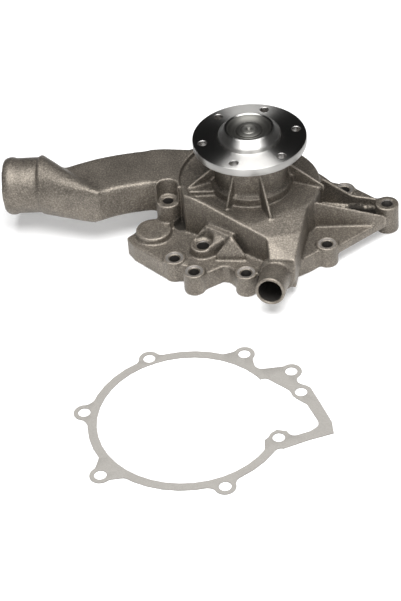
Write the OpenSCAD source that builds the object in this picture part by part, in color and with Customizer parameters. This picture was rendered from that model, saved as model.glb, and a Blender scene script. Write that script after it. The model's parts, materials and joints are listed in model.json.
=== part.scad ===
// Belt-driven coolant pump: cast housing, hub flange on an integral shaft bearing,
// spring-loaded face seal, impeller and the mounting gasket laid beside the pump.
// Heights in the modules count from the mounting plane, and from_face() lowers
// them so that the origin is the centre of the hub's front face.

/* [Hub] */
// Hub front face above the mounting plane
face_height = 120; // [118:1:126]
// Hub flange diameter
hub_diameter = 120; // [114:1:126]
// Hub flange thickness
hub_thickness = 9; // [7:0.5:10]
// Bolt circle of the hub
hub_bolt_circle = 100; // [94:1:104]
// Clearance holes in the hub
hub_hole_diameter = 9; // [6:0.5:10]
// Turn of the hub's holes at rest
hub_hole_turn = 7.2; // [0:0.1:59.9]

/* [Shaft and bearing] */
// Shaft ends
shaft_diameter = 16; // [14:0.5:18]
// Bearing outer ring
bearing_diameter = 52; // [50:1:54]
// Balls in the upper row
ball_count = 9; // [7:1:9]
// Rollers in the lower row
roller_count = 12; // [9:1:12]

/* [Impeller] */
// Impeller diameter
impeller_diameter = 126; // [110:1:130]
// Impeller vanes
vane_count = 7; // [5:1:8]

/* [Housing] */
// Bearing tower diameter
tower_diameter = 76; // [72:1:80]
// Drum over the impeller
drum_diameter = 146; // [142:1:148]
// Deck thickness above the mounting plane
deck_height = 22; // [20:1:23]
// Top of the bolt bosses
boss_height = 25; // [24:1:27]
// Mounting bolt holes
bolt_hole_diameter = 11; // [9:0.5:12]

/* [Hose pipes] */
// Large hose pipe
pipe_diameter = 60; // [58:1:62]
// Small hose nozzle
nozzle_diameter = 31; // [28:1:32]

/* [Gasket] */
// Gasket thickness
gasket_thickness = 1; // [0.8:0.1:1.5]
// Turn of the laid-out gasket about the vertical
gasket_turn = -205.6; // [-215:0.1:-195]

/* [Hidden] */
$fn = 96;

// Where the gasket lies, measured from the shaft axis
gasket_place = [-85.6, -296.6];

// Mounting holes, measured from the shaft axis
mount_holes = [[-90.5, -6.5], [-88.5, -73], [-69, -98], [-15.5, -107],
               [72.5, -70], [101, 22.5], [50, 95], [-66.5, 70]];
support_hole = [142, -20];
support_height = 33;
boss_radius = 11.5;
spot_radius = 9.5;

// The volute's wall is a circle a little off the shaft axis
volute_centre = [2.5, -3];
volute_radius = 88;
wall_land = 9;
tail_outer = [[-70, 6], [-100, 6], [-118, -12], [-138, -29], [-131, -43], [-111, -65], [-95, -82], [-50, -90]];
tail_inner = [[-60, -12], [-94, -17], [-101, -11], [-116, -24.5], [-121, -34], [-118, -40],
              [-100, -58.5], [-87, -63], [-76, -72], [-40, -84]];

// Crest of the rim, from the slot round to the spout
rim_path = [[-76, -8], [-73.5, -27], [-52, -42.5], [-31, -59.5], [8, -91]];
rim_band = [[-76.5, -8], [-74, -27.3], [-52.3, -42.9], [-31.3, -59.9], [7.7, -91.4],
            [11, -86.5], [-27.6, -55], [-48.6, -38], [-68.3, -24], [-70.5, -8.5]];
// Corners that carry the drum's outline out to the spout
spout_shoulder = [[-79, -6], [-77, -30], [-54, -47], [-34, -64], [7, -92], [45, -83], [54, -50],
                  [62, -38], [40, -10], [-20, -5]];
port_place = [-57.5, -63];
port_level = 32;

// Housing levels
rim_height = 70;
recess_floor = 59;
arm_floor = 31;
// Level of the floor sunk into the arm's top round the tower
arm_step = 64.5;
// Ledge round the tower's foot
foot_radius = 43;
foot_level = 68.5;
// Top of the spout where it leaves the drum
spout_level = 54;
arm_wall = 5;
tower_top = 110;
drum_radius = drum_diameter / 2;
tower_radius = tower_diameter / 2;
chamber_top = 50;
divider_floor = 24;
volute_roof = 17;
eye_radius = 38;

// Bearing levels and races
bearing_low = 66;
bearing_high = 104;
bearing_radius = bearing_diameter / 2;
shaft_radius = shaft_diameter / 2;
race_in = 12.5;
race_out = 20;
row_radius = (race_in + race_out) / 2;
ball_radius = 4.6;
ball_level = 93;
roller_radius = 3.5;
roller_low = 70;
roller_high = 82;
row_play = 0.25;

// Face seal levels
seal_seat_radius = 18.2;
cup_low = 44;
cup_high = 54;
cup_wall = 1.2;
carbon_low = 30;
carbon_high = 36;
spring_low = 37.3;
spring_high = 51.3;
spring_radius = 14.2;
spring_wire = 0.9;
spring_turns = 5;

// Impeller
impeller_radius = impeller_diameter / 2;
impeller_floor = 4;
impeller_disc = 4;
vane_top = 22;

// Large hose pipe: points slightly back and down from the arm
pipe_end = [-265, 43.5, 49.5];
pipe_back = 6;
pipe_down = 2;
pipe_length = 42;
pipe_radius = pipe_diameter / 2;
pipe_bore = 26;
bead_height = 1.3;

// Small hose nozzle: points forward, a little left and up
nozzle_end = [6, -150, 31];
nozzle_left = 16;
nozzle_up = 10;
nozzle_length = 42;
nozzle_radius = nozzle_diameter / 2;
nozzle_bore = 12;

arm_outline = [[-216, 36], [-214, 30], [-165, -12], [-149, -6], [-133, -2.5], [-118, -1], [-101, 1], [-84, -6],
               [-72, -14], [-38, -17], [0, -20], [0, 72], [-40, 62], [-64, 56], [-89, 61], [-117, 63],
               [-145, 60], [-165, 56], [-186, 49], [-202, 42.5]];
duct_outline = [[-203, 34], [-160, -5], [-148, -1], [-116, 4], [-104, 12], [-76, 12], [-76, 50],
                [-106, 57], [-133, 55], [-161, 50], [-198, 39]];
// Inner end of the duct, low enough to pass under the recess
duct_inlet = [[-77, 12], [-60, -6], [-30, 0], [-30, 40], [-60, 48], [-77, 50]];

// Tapered web from the volute's wall out to a screw
function ear(place) = let (out = place - volute_centre, along = out / norm(out),
                           across = [-along[1], along[0]], foot = volute_centre + along * (volute_radius + 3))
    [place + across * 9, foot + across * 22, foot - across * 22, place - across * 9];

module from_face() {
    translate([0, 0, -face_height]) children();
}

module tube(low, high, outer, inner) {
    rotate_extrude() translate([inner, low]) square([outer - inner, high - low]);
}

module disc(low, high, radius) {
    translate([0, 0, low]) cylinder(h = high - low, r = radius);
}

module slab(low, high, outline) {
    translate([0, 0, low]) linear_extrude(height = high - low) polygon(outline);
}

module at_each(places) {
    for (place = places) translate(place) children();
}

module around(count, radius) {
    for (i = [0 : count - 1]) rotate([0, 0, i * 360 / count]) translate([radius, 0, 0]) children();
}

// Moves and turns a pipe drawn along -Z so that its mouth is at the given point
module pipe_place() {
    translate(pipe_end) rotate([0, 0, -pipe_back]) rotate([0, -90 - pipe_down, 0]) children();
}

module nozzle_place() {
    translate(nozzle_end) rotate([0, 0, -90 - nozzle_left]) rotate([0, 90 - nozzle_up, 0]) children();
}

// ---- Housing ----

module bearing_tower() {
    rotate_extrude() polygon([[0, 40], [tower_radius + 3, 40], [tower_radius + 3, foot_level],
        [tower_radius, foot_level + 3], [tower_radius, tower_top - 2],
        [tower_radius - 2, tower_top], [0, tower_top]]);
}

// Everything above a plane that falls from one level to another between two places
module above_slope(from, to, from_level, to_level) {
    run = to - from;
    translate([from[0], from[1], from_level])
        rotate([0, atan2(from_level - to_level, norm(run)), atan2(run[1], run[0])])
            translate([-60, -150, 0]) cube([300, 300, 60]);
}

module drum() {
    difference() {
        union() {
            disc(deck_height - 2, recess_floor, drum_radius);
            slab(deck_height - 1.5, recess_floor, spout_shoulder);
        }
        // The front left of the drum is cut straight along the rim
        slab(deck_height + 0.5, rim_height, concat(rim_path, [[9, -115], [-60, -100], [-100, -12]]));
        above_slope([15, -62], [26, -87], recess_floor, spout_level);
    }
    disc(recess_floor - 1, foot_level, foot_radius);
    drum_rim();
    // Low shoulder round the foot of the rim
    slab(deck_height - 1, 45, [[-54.5, -50], [-27, -73.5], [-24, -66], [-34, -50], [-50, -42]]);
}

// Raised rim from the slot round to the spout, falling towards the spout
module drum_rim() {
    difference() {
        slab(deck_height - 0.6, rim_height, rim_band);
        above_slope([-66, -32], [8, -91], rim_height, spout_level + 0.5);
    }
}

module deck() {
    translate(volute_centre) disc(0, deck_height, volute_radius + wall_land);
    slab(0, deck_height, tail_outer);
    for (place = mount_holes) slab(0, deck_height, ear(place));
}

module bolt_bosses() {
    at_each(mount_holes) disc(0, boss_height, boss_radius);
    translate(mount_holes[0]) disc(0, rim_height - 0.5, boss_radius + 1.5);
    translate(support_hole) disc(0, support_height, boss_radius + 1);
}

module suction_arm() {
    difference() {
        slab(arm_floor, rim_height, arm_outline);
        disc(arm_step, rim_height + 1, drum_radius + 4);
    }
    // Transition from the round pipe to the arm, cut off slantwise behind
    hull() {
        pipe_place() translate([0, 0, -pipe_length]) cylinder(h = 2.5, r = pipe_radius + 2, $fn = 32);
        slab(arm_floor, rim_height + 2, [[-168, -12], [-164, -13], [-162, -9]]);
    }
    pipe_place() rotate_extrude() polygon([[0, -pipe_length], [pipe_radius, -pipe_length],
        [pipe_radius, -13], [pipe_radius + bead_height, -10], [pipe_radius + bead_height, -6], [pipe_radius, -2],
        [pipe_radius - 2, 0], [0, 0]]);
}

module nozzle_spout() {
    hull() {
        slab(deck_height - 4, spout_level, [[8, -74], [45, -74], [45, -83], [8, -91]]);
        slab(8, spout_level - 10, [[9, -113], [35, -119], [36, -112], [10, -105]]);
    }
    nozzle_place() rotate_extrude() polygon([[0, -nozzle_length], [nozzle_radius + 4, -nozzle_length],
        [nozzle_radius + 4, -36], [nozzle_radius + 2, -34], [nozzle_radius, -34], [nozzle_radius, -1],
        [nozzle_radius - 1, 0], [0, 0]]);
}

module tower_ribs() {
    for (rib = [[[-34, 3.5, 86], [-75, -8.5]], [[-17.5, -28, 103], [-30.2, -43]],
                [[6, -32, 103], [15.2, -65]], [[33, 1.7, 86], [75.5, -17.7]]]) {
        run = rib[1] - [rib[0][0], rib[0][1]];
        translate([rib[0][0], rib[0][1], 0]) rotate([90, 0, atan2(run[1], run[0])])
            translate([0, 0, -1.5]) linear_extrude(height = 3)
                polygon([[-3, recess_floor - 5], [norm(run), recess_floor - 5], [norm(run), recess_floor + 2.5],
                         [2, rib[0][2]], [-3, rib[0][2]]]);
    }
}

module support_bracket() {
    slab(12, deck_height, [[40, 20], [60, -80], [84, -74], [142, -33], [150, -20], [131, 8], [108, 32], [70, 50]]);
    for (web = [[[62, -36], [138, -42], 70], [[74, 6], [134, -10], 34]]) {
        run = web[1] - web[0];
        translate([web[0][0], web[0][1], 0]) rotate([90, 0, atan2(run[1], run[0])])
            translate([0, 0, -1.6]) linear_extrude(height = 3.2)
                polygon([[0, deck_height - 2], [norm(run), deck_height - 2], [norm(run), support_height - 1],
                         [web[2], support_height + 1], [0, recess_floor - 4]]);
    }
}

module deck_features() {
    // Blind pad on the deck's left lobe
    translate([-108.5, -27, 0]) disc(deck_height - 1, 29, 19);
    // Threaded port boss beside the drum, blended up to the rim's shoulder
    translate([port_place[0], port_place[1], 0]) disc(deck_height - 1, port_level, 13.5);
    hull() {
        translate([port_place[0], port_place[1], 0]) disc(deck_height - 1, port_level - 1, 12);
        slab(deck_height - 1, 43, [[-55, -47], [-53, -51], [-31, -69], [-29, -64]]);
    }
    // Three-cornered facet between the port and the front screws
    hull() {
        slab(deck_height - 1, 28, [[-46, -80], [-14, -85], [-14, -82], [-44, -77]]);
        slab(deck_height - 1, 44, [[-30, -72], [-27, -75], [-25, -71], [-28, -69]]);
    }
}

module housing_body() {
    bearing_tower();
    drum();
    deck();
    bolt_bosses();
    suction_arm();
    nozzle_spout();
    tower_ribs();
    support_bracket();
    deck_features();
}

module water_spaces() {
    // Volute, open to the engine at the mounting plane, with its outlet tail
    difference() {
        union() {
            translate(volute_centre) disc(-1, volute_roof, volute_radius);
            slab(-1, volute_roof, tail_inner);
        }
        at_each(mount_holes) disc(-2, volute_roof + 1, boss_radius - 2.5);
    }
    disc(volute_roof - 1, divider_floor, impeller_radius + 3);
    // Impeller eye and the suction chamber above it
    disc(divider_floor - 1, 29, eye_radius);
    difference() {
        disc(28, chamber_top, drum_radius - 13);
        disc(cup_low, chamber_top + 1, seal_seat_radius + 6);
    }
    // Duct through the arm to the hose pipe
    slab(arm_floor + arm_wall, chamber_top + 9, duct_outline);
    slab(arm_floor + arm_wall, chamber_top, duct_inlet);
    pipe_place() rotate_extrude() polygon([[0, -76], [13, -76], [pipe_bore, -44], [pipe_bore, 1], [0, 1]]);
    // Nozzle bore and the spout's passage into the suction chamber
    nozzle_place() translate([0, 0, -46]) cylinder(h = 47, r = nozzle_bore);
    slab(divider_floor + 4, 40, [[13, -50], [13, -106], [34, -106], [38, -50]]);
}

module shaft_spaces() {
    disc(bearing_low, tower_top + 1, bearing_radius);
    disc(bearing_high + 0.1, bearing_high + 1.9, bearing_radius + 1.5);
    disc(recess_floor - 1, bearing_low + 1, 22);
    disc(cup_high - 1, recess_floor, 13);
    disc(cup_low - 1, cup_high, seal_seat_radius);
    // Weep hole from the slinger's chamber to the back of the tower
    translate([0, 20, bearing_low - 4]) rotate([-90, 0, 0]) cylinder(h = 30, r = 2.5);
}

module screw_spaces() {
    at_each(mount_holes) disc(-1, 60, bolt_hole_diameter / 2);
    at_each([for (i = [1 : 7]) mount_holes[i]]) disc(boss_height - 1, 80, spot_radius);
    // Slot down the arm's wall over the screw beside the tongue
    translate(mount_holes[0]) {
        disc(50, 80, 11);
        translate([-11, -30, 50]) cube([22, 30, 30]);
    }
    translate(support_hole) disc(-1, support_height + 1, bolt_hole_diameter / 2 + 0.5);
    translate([port_place[0], port_place[1], port_level]) {
        disc(-13, 1, 6.5);
        disc(-1, 30, 11);
        translate([0, 0, -2.5]) cylinder(h = 2, r1 = 6.5, r2 = 8.5);
    }
    // Rough pocket between the bracket's webs
    slab(15, 60, [[101, -32], [130, -31], [129, -14], [101, -7]]);
    slab(20, 60, [[86, -33], [102, -32], [102, -7], [86, -3.5]]);
}

module pump_housing() {
    color([0.56, 0.54, 0.51]) from_face() difference() {
        housing_body();
        water_spaces();
        shaft_spaces();
        screw_spaces();
    }
}

// ---- Rotor ----

module hub_flange() {
    flange_low = face_height - hub_thickness;
    rim = hub_diameter / 2;
    color([0.80, 0.80, 0.79]) from_face() difference() {
        rotate_extrude() polygon([[shaft_radius, flange_low - 5], [17, flange_low - 5], [17, flange_low],
            [rim - 1.2, flange_low], [rim, flange_low + 1.2], [rim, face_height - 1.2],
            [rim - 1.2, face_height], [33, face_height], [33, face_height + 4], [31.5, face_height + 6],
            [26.5, face_height + 11.6], [25, face_height + 12], [23.6, face_height + 11.4],
            [15, face_height + 6.5], [14, face_height + 6.5], [14, face_height + 8.5],
            [shaft_radius, face_height + 8.5]]);
        rotate([0, 0, hub_hole_turn]) around(6, hub_bolt_circle / 2)
            disc(flange_low - 1, face_height + 1, hub_hole_diameter / 2);
    }
}

module row_groove() {
    rotate_extrude() translate([row_radius, ball_level]) circle(r = ball_radius + row_play - 0.05);
}

module bearing_shaft() {
    color([0.72, 0.72, 0.73]) from_face() difference() {
        rotate_extrude() polygon([[0, 2], [shaft_radius - 1, 2], [shaft_radius, 3], [shaft_radius, bearing_low - 2],
            [race_in, bearing_low], [race_in, bearing_high], [shaft_radius, bearing_high + 2],
            [shaft_radius, face_height + 8], [shaft_radius - 1, face_height + 9],
            [3, face_height + 9], [1, face_height + 6], [0, face_height + 4]]);
        row_groove();
    }
}

module bearing_outer_ring() {
    color([0.66, 0.66, 0.67]) from_face() difference() {
        tube(bearing_low, bearing_high, bearing_radius, race_out);
        row_groove();
    }
}

module bearing_balls() {
    color([0.85, 0.85, 0.86]) from_face() around(ball_count, row_radius)
        translate([0, 0, ball_level]) sphere(r = ball_radius);
}

module ball_cage() {
    color([0.62, 0.58, 0.45]) from_face() difference() {
        tube(ball_level - 6, ball_level + 6, row_radius + 1.6, row_radius - 1.6);
        around(ball_count, 0) translate([0, 0, ball_level]) rotate([0, 90, 0])
            cylinder(h = race_out, r = ball_radius + 0.15);
    }
}

module bearing_rollers() {
    color([0.85, 0.85, 0.86]) from_face() around(roller_count, row_radius)
        disc(roller_low, roller_high, roller_radius);
}

module roller_cage() {
    color([0.62, 0.58, 0.45]) from_face() difference() {
        tube(roller_low - 1.2, roller_high + 1.2, row_radius + 1.3, row_radius - 1.3);
        around(roller_count, row_radius) disc(roller_low - 0.2, roller_high + 0.2, roller_radius + 0.15);
    }
}

module lip_seal(low) {
    color([0.12, 0.12, 0.12]) from_face() tube(low, low + 2.2, race_out, race_in + 0.3);
}

module upper_bearing_seal() {
    lip_seal(bearing_high - 2.2);
}

module lower_bearing_seal() {
    lip_seal(bearing_low);
}

module retaining_ring() {
    color([0.45, 0.45, 0.47]) from_face() difference() {
        tube(bearing_high + 0.1, bearing_high + 1.8, bearing_radius + 1.5, bearing_radius - 2);
        translate([0, -7, bearing_high]) cube([40, 14, 4]);
    }
}

module water_slinger() {
    color([0.15, 0.15, 0.15]) from_face() rotate_extrude()
        polygon([[shaft_radius, 59], [10.5, 59], [10.5, 60], [17, 61.2], [17, 62.4], [10.5, 61.6],
                 [10.5, 63], [shaft_radius, 63]]);
}

// ---- Face seal ----

module seal_cup() {
    color([0.74, 0.60, 0.30]) from_face() rotate_extrude()
        polygon([[9.5, cup_high - cup_wall], [seal_seat_radius - cup_wall, cup_high - cup_wall],
                 [seal_seat_radius - cup_wall, cup_low], [seal_seat_radius, cup_low],
                 [seal_seat_radius, cup_high], [9.5, cup_high]]);
}

module seal_bellows() {
    top = cup_high - cup_wall;
    color([0.10, 0.10, 0.11]) from_face() rotate_extrude()
        polygon([[9.2, carbon_high], [12.4, carbon_high], [12.4, 40], [11, 42.5], [12.4, 45], [11, 47.5],
                 [12.4, 50], [12.4, spring_high], [16.6, spring_high], [16.6, top], [9.6, top],
                 [9.6, 50], [9.2, 47.5], [10.2, 45], [9.2, 42.5], [9.2, 40]]);
}

// One ring of points round the wire at a turn angle of the coil
function wire_ring(turn, height) = [for (i = [0 : 7])
    let (out = spring_radius + spring_wire * cos(i * 45))
    [out * cos(turn), out * sin(turn), height + spring_wire * sin(i * 45)]];

module seal_spring() {
    steps = 20 * spring_turns;
    low = spring_low + spring_wire;
    rise = spring_high - spring_low - 2 * spring_wire;
    rings = [for (s = [0 : steps]) each wire_ring(s * 18, low + rise * s / steps)];
    sides = [for (s = [0 : steps - 1], i = [0 : 7])
        [s * 8 + i, s * 8 + (i + 1) % 8, s * 8 + 8 + (i + 1) % 8, s * 8 + 8 + i]];
    ends = [[for (i = [7 : -1 : 0]) i], [for (i = [0 : 7]) steps * 8 + i]];
    color([0.70, 0.70, 0.70]) from_face() polyhedron(points = rings, faces = concat(sides, ends));
}

module spring_retainer() {
    color([0.70, 0.70, 0.70]) from_face() rotate_extrude()
        polygon([[12.6, 33], [13.4, 33], [13.4, 36.3], [15.8, 36.3], [15.8, spring_low], [12.6, spring_low]]);
}

module carbon_ring() {
    color([0.16, 0.16, 0.17]) from_face() rotate_extrude()
        polygon([[9.4, carbon_low], [11.6, carbon_low], [11.6, 31.5], [12.6, 31.5], [12.6, carbon_high],
                 [9.4, carbon_high]]);
}

module mating_ring() {
    color([0.90, 0.89, 0.85]) from_face() tube(24.5, carbon_low, 13, 9);
}

module mating_ring_cup() {
    color([0.10, 0.10, 0.10]) from_face() rotate_extrude()
        polygon([[shaft_radius + 0.5, 23], [14.5, 23], [14.5, 28.5], [13, 28.5], [13, 24.5], [shaft_radius + 0.5, 24.5]]);
}

// ---- Impeller ----

module vane() {
    difference() {
        translate([38, 0, impeller_floor + 1]) cylinder(h = vane_top - impeller_floor - 1, r = 26);
        translate([38, 0, 0]) cylinder(h = 40, r = 23.5);
        translate([-30, -60, -1]) cube([140, 60, 40]);
    }
}

module impeller() {
    color([0.35, 0.34, 0.33]) from_face() difference() {
        union() {
            disc(impeller_floor, impeller_floor + impeller_disc, impeller_radius);
            disc(impeller_floor, 27, 18);
            intersection() {
                around(vane_count, 0) vane();
                disc(0, 40, impeller_radius);
            }
        }
        disc(0, 40, shaft_radius);
        disc(23, 40, 14.5);
    }
}

// ---- Gasket ----

module gasket_outline() {
    offset(r = -7, $fn = 40) offset(delta = 7) {
        difference() {
            union() {
                translate(volute_centre) circle(r = volute_radius + wall_land);
                polygon(tail_outer);
                for (place = mount_holes) polygon(ear(place));
                at_each(mount_holes) circle(r = 10.5);
            }
            difference() {
                union() {
                    translate(volute_centre) circle(r = volute_radius);
                    polygon(tail_inner);
                }
                polygon([[-79, 1], [-84, -9], [-96, -16], [-104, -6], [-96, 12], [-84, 14]]);
                at_each(mount_holes) circle(r = 9.5);
            }
        }
    }
}

module gasket() {
    color([0.52, 0.51, 0.49]) from_face()
        translate(gasket_place) rotate([0, 0, gasket_turn]) difference() {
            linear_extrude(height = gasket_thickness) gasket_outline();
            at_each(mount_holes) disc(-1, 3, 6);
        }
}

pump_housing();
hub_flange();
bearing_shaft();
bearing_outer_ring();
bearing_balls();
ball_cage();
bearing_rollers();
roller_cage();
upper_bearing_seal();
lower_bearing_seal();
retaining_ring();
water_slinger();
seal_cup();
seal_bellows();
seal_spring();
spring_retainer();
carbon_ring();
mating_ring();
mating_ring_cup();
impeller();
gasket();
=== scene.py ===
"""Looks of the belt-driven coolant pump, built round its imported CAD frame."""
import json
import math

import bmesh
import bpy
from bpy.props import FloatProperty, FloatVectorProperty, IntProperty, PointerProperty
from mathutils import Matrix, Vector


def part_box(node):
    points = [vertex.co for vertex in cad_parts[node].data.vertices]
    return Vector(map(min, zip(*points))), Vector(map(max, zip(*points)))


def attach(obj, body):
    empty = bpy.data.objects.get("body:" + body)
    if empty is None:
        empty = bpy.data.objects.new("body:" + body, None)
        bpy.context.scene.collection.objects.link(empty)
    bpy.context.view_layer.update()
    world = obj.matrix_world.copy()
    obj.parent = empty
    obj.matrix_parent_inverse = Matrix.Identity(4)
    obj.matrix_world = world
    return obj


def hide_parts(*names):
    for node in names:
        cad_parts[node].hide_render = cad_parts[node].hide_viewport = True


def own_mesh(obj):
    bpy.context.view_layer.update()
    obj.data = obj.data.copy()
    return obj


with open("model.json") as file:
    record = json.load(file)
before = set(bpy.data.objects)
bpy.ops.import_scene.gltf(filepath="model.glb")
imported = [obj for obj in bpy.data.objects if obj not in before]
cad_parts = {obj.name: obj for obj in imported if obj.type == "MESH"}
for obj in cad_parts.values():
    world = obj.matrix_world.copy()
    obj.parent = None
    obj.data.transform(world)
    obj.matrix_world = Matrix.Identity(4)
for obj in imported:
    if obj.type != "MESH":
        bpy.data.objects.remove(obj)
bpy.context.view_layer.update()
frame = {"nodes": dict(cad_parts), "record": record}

bl_info = {
    "name": "Coolant Pump",
    "version": (1, 0, 0),
    "blender": (4, 5, 0),
    "location": "View3D > Sidebar > Coolant Pump",
    "description": "Builds the visible pieces of a cast coolant pump on its CAD frame",
    "category": "Object",
}

MM = 0.001
UP = (0, 0, 1)
MOUNTS = {mount["name"]: mount for mount in frame["record"]["mounts"]}
HOLES = [mount for name, mount in sorted(MOUNTS.items()) if name.startswith("mounting_hole")]
PLANE = MOUNTS["mounting_face"]["pos_m"][2]
# Plan of the arm's back wall where it meets the hose pipe, mm, and the heights of its foot and top
ARM_BACK = (
    (-226, 54), (-216, 42), (-205, 34), (-182, 42), (-180, 51), (-186, 49),
    (-202, 43.5), (-211, 51), (-226, 66))
ARM_BACK_LOW = PLANE + 31.5 * MM
ARM_BACK_HIGH = PLANE + 64 * MM
# Radii of the hose pipe's and the nozzle's bores, and the stretch of them that is drilled
PIPE_BORE = 26 * MM
NOZZLE_BORE = 12 * MM
BORE_START, BORE_END = -25 * MM, 30 * MM
# Spot faces round the screw holes; the long column, the support and the port have none
SPOT_RADIUS = 9.5 * MM
NO_SPOT_FACE = ("mounting_hole_1", "support_hole", "sender_port")
# Radius of the hub's unturned recess
RECESS_RADIUS = 23.6 * MM
# The face seal's spring and bellows
SEAL_SOFT_PARTS = ("seal_spring", "seal_bellows")
# Burnt-on places of the casting: x, y, height over the mounting face and reach, mm
SCORCHED = ((93, -19, 18, 13), (107, -17, 17, 14), (122, -20, 14, 13), (-79, -19, 26, 8))
# The stretch of the suction arm between the drum's screw slot and the hose pipe
ARM_START = -104 * MM
ARM_END = -207 * MM
ARM_FADE = 8 * MM
ARM_LOW = PLANE + 30 * MM
# The view: place, focal length and film width, downward pitch and roll in degrees
CAMERA_PLACE = (-0.0648, -1.6093, 1.1267)
CAMERA_LENS, CAMERA_FILM = 112.2, 36
CAMERA_PITCH, CAMERA_ROLL = 39.88, 4.66


# ---- Sizes and colours ----


class PumpSizes(bpy.types.PropertyGroup):
    grain: FloatProperty(
        name="Casting grain", description="Voxel size of the cast skin",
        default=1.15 * MM, min=0.8 * MM, max=3 * MM, unit="LENGTH")
    fillet_passes: IntProperty(
        name="Fillet passes", description="Smoothing passes that round the cast edges",
        default=8, min=0, max=20)
    arm_passes: IntProperty(
        name="Arm fillet passes", description="Further passes that round the suction arm",
        default=110, min=0, max=200)
    skin_triangles: IntProperty(
        name="Skin triangles", description="Most triangles in the cast skin",
        default=150000, min=20000, max=190000)
    hub_segments: IntProperty(
        name="Hub segments", description="Steps round the turned hub", default=192, min=48, max=512)
    flange: FloatProperty(
        name="Flange thickness", description="Thickness of the hub's flange", default=9 * MM, min=7 * MM,
        max=10 * MM, unit="LENGTH")
    hole_turn: FloatProperty(
        name="Hole turn", description="Turn of the hub's bolt holes at rest", default=math.radians(7.2),
        subtype="ANGLE")
    hole_chamfer: FloatProperty(
        name="Hole chamfer", description="Chamfer at the mouth of each drilled hole",
        default=0.6 * MM, min=0, max=2 * MM, unit="LENGTH")


class PumpColours(bpy.types.PropertyGroup):
    casting: FloatVectorProperty(
        name="Casting", description="As-cast aluminium", subtype="COLOR", size=3,
        default=(0.155, 0.137, 0.115), min=0, max=1)
    # Painted highlight: a lighter colour laid on the casting's rounded edges, where light would catch them
    casting_edge_highlight: FloatVectorProperty(
        name="Casting edges", description="Highlighted edges of the casting", subtype="COLOR", size=3,
        default=(0.45, 0.40, 0.34), min=0, max=1)
    machined: FloatVectorProperty(
        name="Machined faces", description="Spot-faced and drilled aluminium", subtype="COLOR", size=3,
        default=(0.52, 0.49, 0.46), min=0, max=1)
    hub: FloatVectorProperty(
        name="Hub", description="Turned steel of the hub", subtype="COLOR", size=3,
        default=(0.45, 0.442, 0.428), min=0, max=1)
    gasket: FloatVectorProperty(
        name="Gasket", description="Fibre gasket paper", subtype="COLOR", size=3,
        default=(0.262, 0.250, 0.232), min=0, max=1)
    floor: FloatVectorProperty(
        name="Floor", description="Studio floor", subtype="COLOR", size=3,
        default=(0.72, 0.72, 0.72), min=0, max=1)


# ---- Mesh helpers ----


def new_object(name, bm):
    mesh = bpy.data.meshes.new(name)
    bm.to_mesh(mesh)
    bm.free()
    piece = bpy.data.objects.new(name, mesh)
    bpy.context.scene.collection.objects.link(piece)
    return piece


def clean(bm):
    bmesh.ops.remove_doubles(bm, verts=bm.verts, dist=1e-6)
    bmesh.ops.recalc_face_normals(bm, faces=bm.faces)


def smooth_shade(piece, angle=None):
    piece.data.polygons.foreach_set("use_smooth", [True] * len(piece.data.polygons))
    if angle is not None:
        piece.data.set_sharp_from_angle(angle=math.radians(angle))


def clamped(value):
    return min(1.0, max(0.0, value))


def prism(bm, outline, low, high):
    """A closed upright prism on a plan outline that runs anticlockwise."""
    floor = [bm.verts.new((x * MM, y * MM, low)) for x, y in outline]
    roof = [bm.verts.new((x * MM, y * MM, high)) for x, y in outline]
    bm.faces.new(list(reversed(floor)))
    bm.faces.new(roof)
    for i in range(len(outline)):
        j = (i + 1) % len(outline)
        bm.faces.new([floor[i], floor[j], roof[j], roof[i]])


def aimed(place, axis):
    """The matrix that takes a shape drawn along +Z to a place and an axis."""
    turn = Vector(axis).to_track_quat("Z", "Y").to_matrix().to_4x4()
    return Matrix.Translation(place) @ turn


def lathe(bm, profile, segments, place=(0, 0, 0), axis=(0, 0, 1)):
    """Turns a profile of (radius, height) about an axis; a radius of 0 closes it."""
    matrix = aimed(place, axis)
    rings = []
    for radius, height in profile:
        if radius == 0:
            rings.append([bm.verts.new(matrix @ Vector((0, 0, height)))])
            continue
        rings.append([
            bm.verts.new(matrix @ Vector((
                radius * math.cos(2 * math.pi * i / segments),
                radius * math.sin(2 * math.pi * i / segments), height)))
            for i in range(segments)])
    for low, high in zip(rings, rings[1:]):
        for i in range(segments):
            j = (i + 1) % segments
            corners = [low[i % len(low)], low[j % len(low)], high[j % len(high)], high[i % len(high)]]
            bm.faces.new(list(dict.fromkeys(corners)))


def drill(bm, place, axis, radius, low, high, chamfer=0.0, segments=48):
    """A closed round cutter, from low to high along the axis, with a chamfered mouth at high."""
    profile = [(0, low), (radius, low)]
    if chamfer:
        profile += [(radius, high - chamfer), (radius + chamfer, high), (radius + chamfer, high + chamfer)]
        profile.append((0, high + chamfer))
    else:
        profile += [(radius, high), (0, high)]
    lathe(bm, profile, segments, place, axis)


def cut(piece, cutter, material=None):
    if material is not None:
        cutter.data.materials.append(material)
    modifier = piece.modifiers.new("cut", "BOOLEAN")
    modifier.operation = "DIFFERENCE"
    modifier.object = cutter
    modifier.solver = "MANIFOLD"
    modifier.material_mode = "TRANSFER"
    apply_modifiers(piece)
    bpy.data.objects.remove(cutter)


def apply_modifiers(piece):
    graph = bpy.context.evaluated_depsgraph_get()
    made = bpy.data.meshes.new_from_object(piece.evaluated_get(graph), depsgraph=graph)
    old = piece.data
    piece.modifiers.clear()
    piece.data = made
    made.name = piece.name
    bpy.data.meshes.remove(old)


def cad_copy(node, name):
    bm = bmesh.new()
    bm.from_mesh(frame["nodes"][node].data)
    clean(bm)
    return new_object(name, bm)


# ---- Material helpers ----


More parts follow.
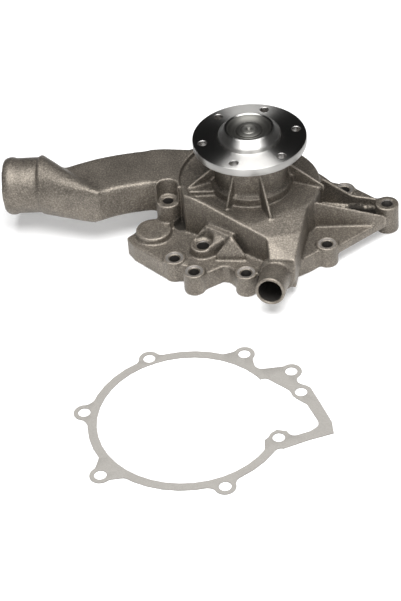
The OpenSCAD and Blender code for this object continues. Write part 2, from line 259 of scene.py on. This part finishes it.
class Shader:
    """A Principled material whose nodes are added one by one."""

    def __init__(self, name, **inputs):
        self.material = bpy.data.materials.new(name)
        self.material.use_nodes = True
        self.nodes = self.material.node_tree.nodes
        self.links = self.material.node_tree.links
        self.surface = self.nodes["Principled BSDF"]
        self.coordinates = self.add("ShaderNodeTexCoord").outputs["Object"]
        for key, value in inputs.items():
            self.surface.inputs[key.replace("_", " ").title().replace("Ior", "IOR")].default_value = value

    def add(self, kind, **settings):
        node = self.nodes.new(kind)
        for key, value in settings.items():
            if hasattr(node, key):
                setattr(node, key, value)
            else:
                node.inputs[key.replace("_", " ").title()].default_value = value
        return node

    def join(self, source, target):
        self.links.new(source, target)

    def noise(self, scale, detail=4.0, roughness=0.6, coordinates=None):
        node = self.add("ShaderNodeTexNoise", scale=scale, detail=detail, roughness=roughness)
        self.join(coordinates or self.coordinates, node.inputs["Vector"])
        return node.outputs["Fac"]

    def ramp(self, value, stops):
        node = self.add("ShaderNodeValToRGB")
        points = node.color_ramp.elements
        while len(points) < len(stops):
            points.new(0.5)
        for point, (place, colour) in zip(points, stops):
            point.position = place
            if isinstance(colour, (int, float)):
                colour = (colour, colour, colour)
            point.color = (*colour, 1)
        self.join(value, node.inputs["Fac"])
        return node.outputs["Color"]

    def mix(self, factor, first, second, blend="MIX"):
        node = self.add("ShaderNodeMix", data_type="RGBA", blend_type=blend)
        for socket, value in ((node.inputs[0], factor), (node.inputs[6], first), (node.inputs[7], second)):
            if isinstance(value, bpy.types.NodeSocket):
                self.join(value, socket)
            else:
                socket.default_value = value if isinstance(value, (int, float)) else (*value, 1)
        return node.outputs[2]

    def math(self, operation, first, second=0.0):
        node = self.add("ShaderNodeMath", operation=operation)
        for socket, value in zip(node.inputs, (first, second)):
            if isinstance(value, bpy.types.NodeSocket):
                self.join(value, socket)
            else:
                socket.default_value = value
        return node.outputs[0]

    def bump(self, height, strength, distance):
        node = self.add("ShaderNodeBump", strength=strength, distance=distance)
        self.join(height, node.inputs["Height"])
        self.join(node.outputs["Normal"], self.surface.inputs["Normal"])

    def colour(self, value):
        self.join(value, self.surface.inputs["Base Color"])

    def roughness(self, value):
        self.join(value, self.surface.inputs["Roughness"])


def scaled(colour, factor):
    return tuple(min(1.0, channel * factor) for channel in colour)


def cast_skin(colours, scorched):
    """Sand-cast aluminium: mottled, gritty, with a painted highlight along its edges, crusted in the scorched
    places.
    """
    shader = Shader("cast_skin", metallic=0.75)
    blotch = shader.noise(45, 5)
    speck = shader.noise(620, 3, 0.7)
    base = shader.ramp(blotch, [(0.3, scaled(colours.casting, 0.82)), (0.7, scaled(colours.casting, 1.2))])
    grit = shader.ramp(speck, [(0.30, 0.6), (0.5, 1.0), (0.70, 1.9)])
    base = shader.mix(1.0, base, grit, "MULTIPLY")
    # Painted highlight along the edges: where the skin is sharply convex (pointiness), the colour is
    # lightened towards the edge highlight colour
    pointiness = shader.add("ShaderNodeNewGeometry").outputs["Pointiness"]
    edge_highlight = shader.math("MULTIPLY", shader.ramp(pointiness, [(0.515, 0.0), (0.575, 1.0)]), 0.55)
    crust = 0.0
    ragged_edge = shader.math("MULTIPLY", shader.noise(190, 4, 0.7), 0.5)
    for place, radius in scorched:
        offset = shader.add("ShaderNodeVectorMath", operation="SUBTRACT")
        shader.join(shader.coordinates, offset.inputs[0])
        offset.inputs[1].default_value = place
        away = shader.add("ShaderNodeVectorMath", operation="LENGTH")
        shader.join(offset.outputs["Vector"], away.inputs[0])
        ragged = shader.math("ADD", shader.math("DIVIDE", away.outputs["Value"], 2 * radius), ragged_edge)
        crust = shader.math("MAXIMUM", crust, shader.ramp(ragged, [(0.68, 0.9), (0.80, 0.0)]))
    base = shader.mix(edge_highlight, base, colours.casting_edge_highlight)
    shader.colour(shader.mix(crust, base, scaled(colours.casting, 0.22)))
    shader.roughness(shader.mix(crust, shader.ramp(speck, [(0.3, 0.38), (0.7, 0.55)]), (0.9, 0.9, 0.9)))
    sand = shader.math("ADD", shader.noise(900, 4, 0.7), shader.math("MULTIPLY", shader.noise(260, 3), 1.2))
    lumps = shader.math("MULTIPLY", shader.noise(330, 3, 0.8), 6.0)
    shader.bump(shader.math("ADD", sand, shader.math("MULTIPLY", crust, lumps)), 0.6, 0.5 * MM)
    return shader.material


def machined_face(colours):
    """Cutter-faced aluminium: paler and smoother, with a fine grain."""
    shader = Shader("machined_face", metallic=0.9)
    marks = shader.noise(2400, 2)
    dull, bright = scaled(colours.machined, 0.85), scaled(colours.machined, 1.15)
    shader.colour(shader.ramp(marks, [(0.3, dull), (0.7, bright)]))
    shader.roughness(shader.ramp(marks, [(0.3, 0.28), (0.7, 0.42)]))
    shader.bump(marks, 0.25, 0.1 * MM)
    return shader.material


def turned_steel(name, colour, roughness=0.35, anisotropic=0.95, ring_scale=900):
    """Lathe-turned steel: fine rings about the shaft, stretched highlights."""
    shader = Shader(name, metallic=1.0, anisotropic=anisotropic, anisotropic_rotation=0.25)
    split = shader.add("ShaderNodeSeparateXYZ")
    shader.join(shader.coordinates, split.inputs[0])
    across = shader.math("POWER", split.outputs["X"], 2.0)
    along = shader.math("POWER", split.outputs["Y"], 2.0)
    radius = shader.math("SQRT", shader.math("ADD", across, along))
    lathe_marks = shader.add("ShaderNodeCombineXYZ")
    shader.join(radius, lathe_marks.inputs["X"])
    shader.join(split.outputs["Z"], lathe_marks.inputs["Y"])
    rings = shader.noise(ring_scale, 6, 0.7, lathe_marks.outputs[0])
    wear = shader.noise(60, 4)
    shader.colour(shader.mix(0.25, colour, shader.ramp(wear, [(0.3, scaled(colour, 0.7)), (0.7, colour)])))
    shader.roughness(shader.ramp(rings, [(0.3, roughness * 0.8), (0.7, roughness * 1.3)]))
    shader.bump(rings, 0.05, 0.05 * MM)
    tangent = shader.add("ShaderNodeTangent", direction_type="RADIAL", axis="Z")
    shader.join(tangent.outputs[0], shader.surface.inputs["Tangent"])
    return shader.material


def plain_finish(name, colour, metallic, roughness, grain_scale, grain_depth):
    """A simple finish with its own grain in colour, roughness and height."""
    shader = Shader(name, metallic=metallic)
    grain = shader.noise(grain_scale, 4, 0.65)
    shader.colour(shader.ramp(grain, [(0.3, scaled(colour, 0.8)), (0.7, scaled(colour, 1.15))]))
    shader.roughness(shader.ramp(grain, [(0.3, roughness * 0.85), (0.7, min(1.0, roughness * 1.2))]))
    shader.bump(grain, 0.3, grain_depth)
    return shader.material


def gasket_paper(colours):
    """Pressed fibre sheet: flat grey with faint fibres."""
    shader = Shader("gasket_paper", metallic=0.0, specular_ior_level=0.35)
    fibre = shader.noise(700, 5, 0.7)
    cloud = shader.noise(30, 3)
    base = shader.ramp(cloud, [(0.3, scaled(colours.gasket, 0.94)), (0.7, scaled(colours.gasket, 1.05))])
    shader.colour(shader.mix(0.5, base, shader.ramp(
        fibre, [(0.3, scaled(colours.gasket, 0.8)), (0.7, scaled(colours.gasket, 1.2))])))
    shader.surface.inputs["Roughness"].default_value = 0.8
    shader.bump(fibre, 0.25, 0.1 * MM)
    return shader.material


# ---- Pieces ----


class PUMP_OT_housing(bpy.types.Operator):
    """Casts the housing: rounded skin first, then its drilled and spot-faced holes"""
    bl_idname = "pump.housing"
    bl_label = "Cast Housing"

    def execute(self, context):
        sizes = context.scene.pump_sizes
        colours = context.scene.pump_colours
        housing = cad_copy("pump_housing", "cast_housing")
        self.close_arm_back(housing)
        self.make_skin(housing, sizes)
        self.round_edges(housing, sizes)
        thin = housing.modifiers.new("thin", "DECIMATE")
        thin.ratio = min(1.0, sizes.skin_triangles / (2 * len(housing.data.polygons)))
        apply_modifiers(housing)
        housing.data.materials.clear()
        scorched = [(Vector((x, y, z)) * MM + Vector((0, 0, PLANE)), r * MM) for x, y, z, r in SCORCHED]
        housing.data.materials.append(cast_skin(colours, scorched))
        self.machine_holes(housing, sizes, colours)
        smooth_shade(housing, 50)
        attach(housing, "casing")
        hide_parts("pump_housing")
        return {"FINISHED"}

    def close_arm_back(self, housing):
        """Closes the back of the arm behind the hose pipe, where the CAD's bore comes through"""
        closed = bmesh.new()
        closed.from_mesh(housing.data)
        prism(closed, ARM_BACK, ARM_BACK_LOW, ARM_BACK_HIGH)
        closed.to_mesh(housing.data)
        closed.free()

    def make_skin(self, housing, sizes):
        remesh = housing.modifiers.new("skin", "REMESH")
        remesh.mode = "VOXEL"
        remesh.voxel_size = sizes.grain
        apply_modifiers(housing)

    def round_edges(self, housing, sizes):
        """Smooths the whole skin a little, and the suction arm a good deal more"""
        everywhere = housing.vertex_groups.new(name="everywhere")
        arm = housing.vertex_groups.new(name="arm")
        for vertex in housing.data.vertices:
            x, y, z = vertex.co
            everywhere.add([vertex.index], 1.0, "REPLACE")
            weight = clamped((ARM_START - x) / ARM_FADE) * clamped((x - ARM_END) / ARM_FADE)
            arm.add([vertex.index], weight if z > ARM_LOW else 0.0, "REPLACE")
        for group, passes in ((everywhere, sizes.fillet_passes), (arm, sizes.arm_passes)):
            fillet = housing.modifiers.new(group.name, "SMOOTH")
            fillet.factor = 0.5
            fillet.iterations = passes
            fillet.vertex_group = group.name
        apply_modifiers(housing)
        housing.vertex_groups.clear()

    def machine_holes(self, housing, sizes, colours):
        """Cuts the spot faces, the chamfered mouths and the holes themselves"""
        machined = machined_face(colours)
        # Painted shade: the bores' walls get a near-black colour that stands for the darkness inside the deep
        # holes, not the colour of drilled aluminium
        bore_shade = plain_finish("bore_painted_shade", (0.07, 0.065, 0.06), 0.7, 0.5, 900, 0.1 * MM)
        faces, mouths, drills = bmesh.new(), bmesh.new(), bmesh.new()
        for hole in HOLES + [MOUNTS["support_hole"], MOUNTS["sender_port"]]:
            radius = hole["dims"]["r_mm"] * MM
            half = hole["dims"]["length_mm"] * MM / 2
            place = Vector(hole["pos_m"])
            low = -half if hole is MOUNTS["sender_port"] else -half - 2 * MM
            drill(drills, place, UP, radius, low, half + MM)
            drill(mouths, place, UP, radius - 0.3 * MM, half - MM, half, sizes.hole_chamfer + 0.3 * MM)
            if hole["name"] not in NO_SPOT_FACE:
                drill(faces, place, UP, SPOT_RADIUS, half - 0.1 * MM, half + 40 * MM)
        for name, bore in (("small_hose_nozzle", NOZZLE_BORE), ("large_hose_pipe", PIPE_BORE)):
            pipe = MOUNTS[name]
            drill(drills, Vector(pipe["pos_m"]), pipe["axis"], bore, BORE_START, BORE_END, segments=96)
        cut(housing, new_object("spot_faces", faces), machined)
        cut(housing, new_object("mouths", mouths), machined)
        cut(housing, new_object("drills", drills), bore_shade)


class PUMP_OT_hub(bpy.types.Operator):
    """Turns the hub flange on a lathe profile and drills its bolt holes"""
    bl_idname = "pump.hub"
    bl_label = "Hub Flange"

    def execute(self, context):
        sizes = context.scene.pump_sizes
        colours = context.scene.pump_colours
        low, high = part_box("hub_flange")
        rim = high[0]
        pilot = MOUNTS["hub_pilot"]["dims"]["r_mm"] * MM
        top = high[2]
        under = -sizes.flange
        bore = 8 * MM
        profile = [
            (bore, low[2]), (17 * MM, low[2]), (17 * MM, under), (rim - 1.0 * MM, under),
            (rim - 0.3 * MM, under + 0.3 * MM), (rim, under + 1.0 * MM), (rim, -1.0 * MM),
            (rim - 0.3 * MM, -0.3 * MM), (rim - 1.0 * MM, 0), (pilot + 1.5 * MM, 0),
            (pilot + 0.4 * MM, 0.3 * MM), (pilot, 1.2 * MM), (pilot, 4.0 * MM), (pilot - 0.5 * MM, 4.9 * MM),
            (pilot - 1.6 * MM, 6.2 * MM), (27 * MM, top - 1.3 * MM), (26.2 * MM, top - 0.5 * MM),
            (25.2 * MM, top), (24.4 * MM, top - 0.1 * MM), (23.4 * MM, top - 0.8 * MM),
            (21.5 * MM, top - 2.6 * MM), (18.5 * MM, top - 4.6 * MM),
            (15.6 * MM, top - 5.5 * MM), (14.4 * MM, top - 5.5 * MM),
            (14 * MM, top - 5.2 * MM), (13.7 * MM, top - 3.8 * MM), (13.2 * MM, top - 3.5 * MM),
            (bore + 0.4 * MM, top - 3.5 * MM), (bore, top - 3.9 * MM), (bore, low[2])]
        bm = bmesh.new()
        lathe(bm, profile, sizes.hub_segments)
        clean(bm)
        for face in bm.faces:
            middle = face.calc_center_median()
            if middle.z > 2 * MM and middle.xy.length < RECESS_RADIUS:
                face.material_index = 1
        hub = new_object("turned_hub", bm)
        bolts = MOUNTS["hub_bolts"]["dims"]
        drills = bmesh.new()
        for i in range(bolts["count"]):
            turn = sizes.hole_turn + 2 * math.pi * i / bolts["count"]
            place = Vector((math.cos(turn), math.sin(turn), 0)) * bolts["pcd_mm"] / 2 * MM
            drill(drills, place, UP, bolts["hole_r_mm"] * MM, under - MM, 0, sizes.hole_chamfer)
        drilled = plain_finish("drilled_steel", (0.35, 0.34, 0.33), 1.0, 0.4, 900, 0.1 * MM)
        hub.data.materials.append(turned_steel("turned_hub", tuple(colours.hub)))
        hub.data.materials.append(turned_steel("hub_recess", (0.12, 0.117, 0.108), 0.5, 0.4))
        cut(hub, new_object("hub_drills", drills), drilled)
        smooth_shade(hub, 32)
        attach(hub, "rotor")
        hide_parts("hub_flange")
        return {"FINISHED"}


class PUMP_OT_gasket(bpy.types.Operator):
    """Gives the gasket sheet its softened cut edge and paper finish"""
    bl_idname = "pump.gasket"
    bl_label = "Gasket"

    def execute(self, context):
        gasket = cad_copy("gasket", "fibre_gasket")
        gasket.data.materials.clear()
        gasket.data.materials.append(gasket_paper(context.scene.pump_colours))
        edge = gasket.modifiers.new("edge", "BEVEL")
        edge.width = 0.15 * MM
        edge.segments = 1
        edge.limit_method = "ANGLE"
        edge.angle_limit = math.radians(50)
        apply_modifiers(gasket)
        smooth_shade(gasket, 35)
        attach(gasket, "gasket_sheet")
        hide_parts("gasket")
        return {"FINISHED"}


class PUMP_OT_inner_parts(bpy.types.Operator):
    """Gives the shaft, bearing, face seal and impeller their finishes, and puts the seal's soft parts in
    smooth-shaded copies on the casing
    """
    bl_idname = "pump.inner_parts"
    bl_label = "Inner Parts"

    def execute(self, context):
        steel = turned_steel("ground_shaft", (0.22, 0.215, 0.20), 0.5, 0.3, 1500)
        ground = plain_finish("ground_steel", (0.66, 0.66, 0.67), 1.0, 0.16, 3000, 0.02 * MM)
        finishes = {
            "bearing_shaft": steel,
            "bearing_outer_ring": ground,
            "bearing_balls": ground,
            "bearing_rollers": ground,
        }
        shared = {
            plain_finish("cage_brass", (0.55, 0.42, 0.20), 1.0, 0.35, 1200, 0.05 * MM): (
                "ball_cage", "roller_cage"),
            plain_finish("seal_brass", (0.62, 0.47, 0.22), 1.0, 0.3, 1000, 0.05 * MM): ("seal_cup",),
            plain_finish("seal_rubber", (0.025, 0.025, 0.026), 0.0, 0.6, 1600, 0.08 * MM): (
                "upper_bearing_seal", "lower_bearing_seal", "water_slinger", "seal_bellows",
                "mating_ring_cup"),
            plain_finish("spring_steel", (0.50, 0.50, 0.51), 1.0, 0.3, 1800, 0.03 * MM): (
                "retaining_ring", "seal_spring", "spring_retainer"),
            plain_finish("carbon_face", (0.045, 0.045, 0.05), 0.2, 0.45, 2600, 0.03 * MM): ("carbon_ring",),
            plain_finish("lapped_ceramic", (0.78, 0.77, 0.72), 0.0, 0.22, 2200, 0.01 * MM): ("mating_ring",),
            plain_finish("cast_impeller", (0.16, 0.15, 0.145), 0.8, 0.55, 500, 0.35 * MM): ("impeller",),
        }
        for finish, nodes in shared.items():
            for node in nodes:
                finishes[node] = finish
        for node, finish in finishes.items():
            soft = node in SEAL_SOFT_PARTS
            piece = cad_copy(node, "flexing_" + node) if soft else frame["nodes"][node]
            piece.data.materials.clear()
            piece.data.materials.append(finish)
            if soft:
                self.flex(piece, node)
        return {"FINISHED"}

    def flex(self, piece, node):
        """Smooth-shades a soft part's copy, hangs it on the casing and hides its CAD part"""
        smooth_shade(piece, 40)
        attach(piece, "casing")
        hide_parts(node)
        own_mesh(piece)


# ---- Stage ----


def soft_box(name, place, target, width, height, power):
    data = bpy.data.lights.new(name, "AREA")
    data.shape = "RECTANGLE"
    data.size = width
    data.size_y = height
    data.energy = power
    lamp = bpy.data.objects.new(name, data)
    lamp.location = place
    lamp.rotation_euler = (Vector(target) - Vector(place)).to_track_quat("-Z", "Y").to_euler()
    bpy.context.scene.collection.objects.link(lamp)


class PUMP_OT_stage(bpy.types.Operator):
    """Lays the pale floor, hangs the soft boxes and sets the camera"""
    bl_idname = "pump.stage"
    bl_label = "Stage"

    def execute(self, context):
        colours = context.scene.pump_colours
        scene = context.scene
        bm = bmesh.new()
        bmesh.ops.create_grid(bm, x_segments=2, y_segments=2, size=6)
        bmesh.ops.translate(bm, verts=bm.verts, vec=(0, 0, PLANE - 0.2 * MM))
        floor = new_object("studio_floor", bm)
        shader = Shader("studio_floor", base_color=(*colours.floor, 1), roughness=0.9)
        shader.surface.inputs["Emission Color"].default_value = (1, 1, 1, 1)
        shader.surface.inputs["Emission Strength"].default_value = 0.32
        floor.data.materials.append(shader.material)

        soft_box("overhead_box", (0.0, -0.30, 1.35), (0, -0.05, 0), 1.5, 1.2, 46)
        soft_box("front_left_box", (-0.48, -1.45, 0.78), (0, 0, 0), 0.8, 0.5, 5.5)
        soft_box("front_right_box", (0.48, -1.45, 0.78), (0, 0, 0), 0.8, 0.5, 5.5)

        world = bpy.data.worlds.new("studio")
        world.use_nodes = True
        background = world.node_tree.nodes["Background"]
        background.inputs["Color"].default_value = (1, 1, 1, 1)
        background.inputs["Strength"].default_value = 0.02
        scene.world = world
        scene.view_settings.view_transform = "Standard"

        lens = bpy.data.cameras.new("camera")
        lens.lens = CAMERA_LENS
        lens.sensor_width = CAMERA_FILM
        camera = bpy.data.objects.new("camera", lens)
        pitch, roll = math.radians(CAMERA_PITCH), math.radians(CAMERA_ROLL)
        camera.location = CAMERA_PLACE
        turn = Matrix.Rotation(math.pi / 2 - pitch, 4, "X") @ Matrix.Rotation(-roll, 4, "Z")
        camera.rotation_euler = turn.to_euler()
        scene.collection.objects.link(camera)
        scene.camera = camera
        return {"FINISHED"}


class PUMP_PT_panel(bpy.types.Panel):
    """Lists the pump's building steps"""
    bl_idname = "PUMP_PT_panel"
    bl_label = "Coolant Pump"
    bl_space_type = "VIEW_3D"
    bl_region_type = "UI"
    bl_category = "Coolant Pump"

    def draw(self, context):
        for operator in OPERATORS:
            self.layout.operator(operator.bl_idname)
        for group in (context.scene.pump_sizes, context.scene.pump_colours):
            for name in group.__annotations__:
                self.layout.prop(group, name)


OPERATORS = (PUMP_OT_stage, PUMP_OT_housing, PUMP_OT_hub, PUMP_OT_gasket, PUMP_OT_inner_parts)
CLASSES = (PumpSizes, PumpColours, *OPERATORS, PUMP_PT_panel)


def register():
    for kind in CLASSES:
        bpy.utils.register_class(kind)
    bpy.types.Scene.pump_sizes = PointerProperty(type=PumpSizes)
    bpy.types.Scene.pump_colours = PointerProperty(type=PumpColours)


def unregister():
    del bpy.types.Scene.pump_colours
    del bpy.types.Scene.pump_sizes
    for kind in reversed(CLASSES):
        bpy.utils.unregister_class(kind)


def main():
    register()
    bpy.ops.pump.stage()
    bpy.ops.pump.housing()
    bpy.ops.pump.hub()
    bpy.ops.pump.gasket()
    bpy.ops.pump.inner_parts()


if __name__ == "__main__":
    main()
